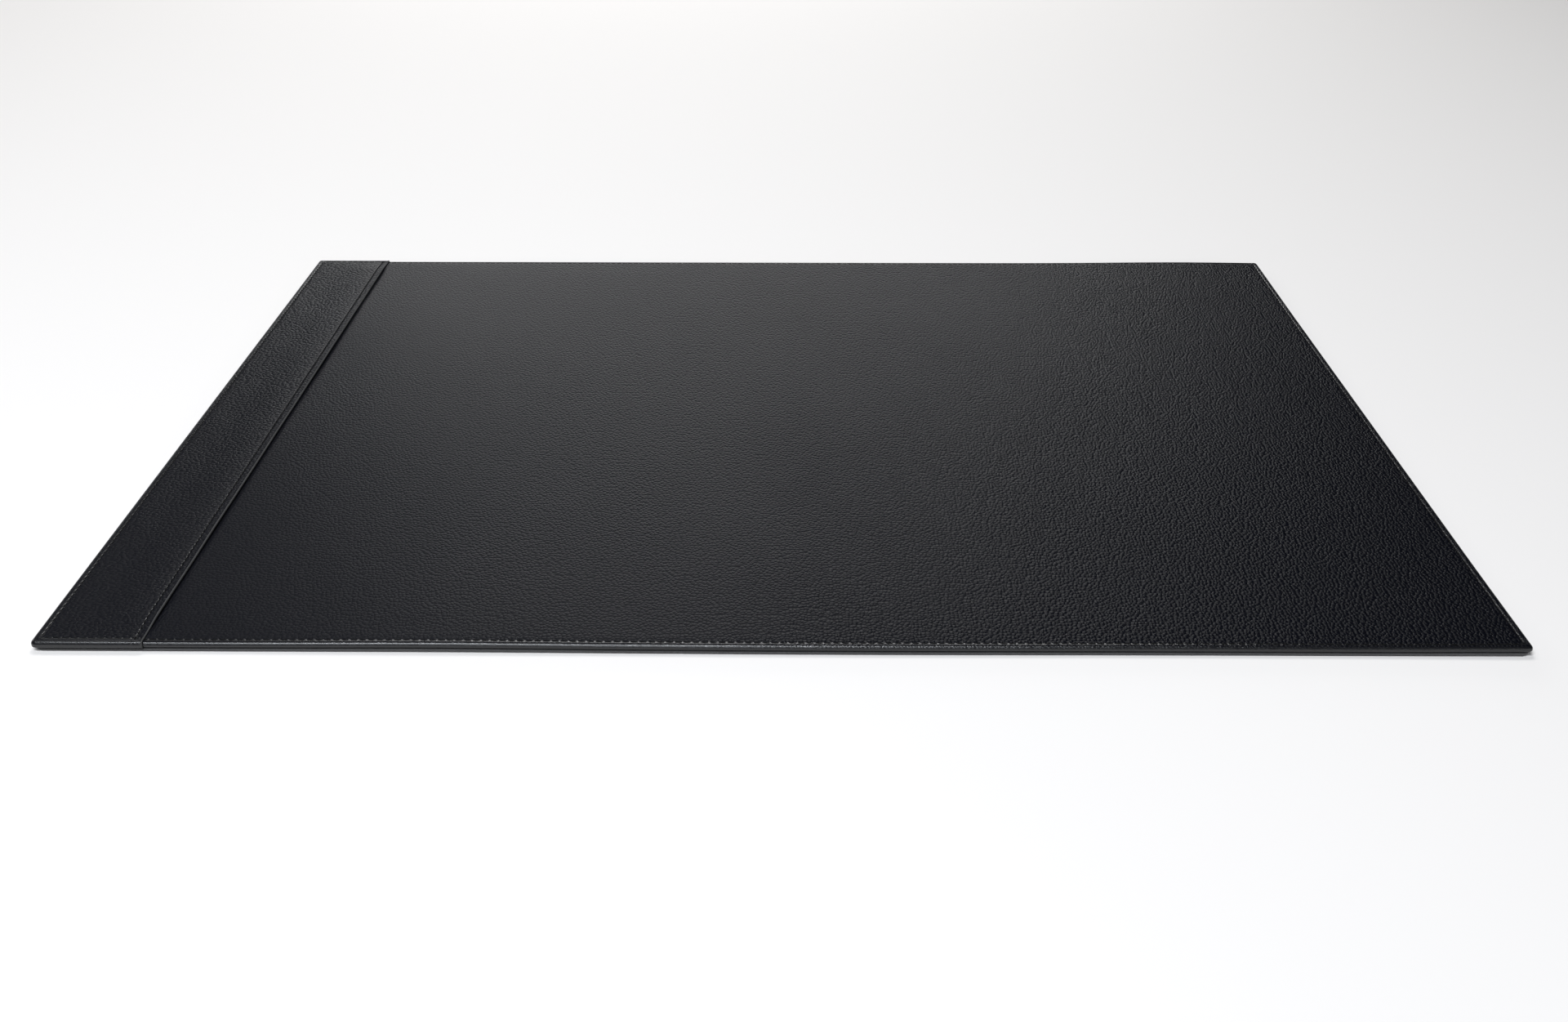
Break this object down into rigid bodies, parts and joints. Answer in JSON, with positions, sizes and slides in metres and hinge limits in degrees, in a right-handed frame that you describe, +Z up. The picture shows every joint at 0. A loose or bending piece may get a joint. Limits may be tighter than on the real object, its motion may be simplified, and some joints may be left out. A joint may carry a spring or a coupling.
{
  "type": "desk mat",
  "caption": "Flat leather desk mat with turned, stitched edges, a side panel whose free hem leaves a thin slot for paper, and a separate backing.",
  "frame": {"origin": "centre of the footprint, on the surface that the mat rests on", "axes": "+X along the long side, away from the side panel; +Y away from the user, towards the back edge; +Z up from the desk"},
  "size_m": [0.7, 0.5, 0.0064],
  "materials": {
    "cover_leather": "black pebble grain, semi-matt",
    "panel_leather": "black pebble grain, slightly flatter, semi-matt",
    "backing": "charcoal suede, matt",
    "board": "grey board",
    "levelling_card": "brown card",
    "thread": "black polyester sewing thread"
  },
  "bodies": {
    "root": {"backing_sheet": "backing", "levelling_sheet": "levelling_card", "core_board": "board", "top_cover": "cover_leather", "side_panel": "panel_leather", "side_panel_turn_ins": "panel_leather", "edge_needle_thread": "thread", "edge_bobbin_thread": "thread", "panel_needle_thread": "thread", "panel_bobbin_thread": "thread"}
  },
  "joints": []
}
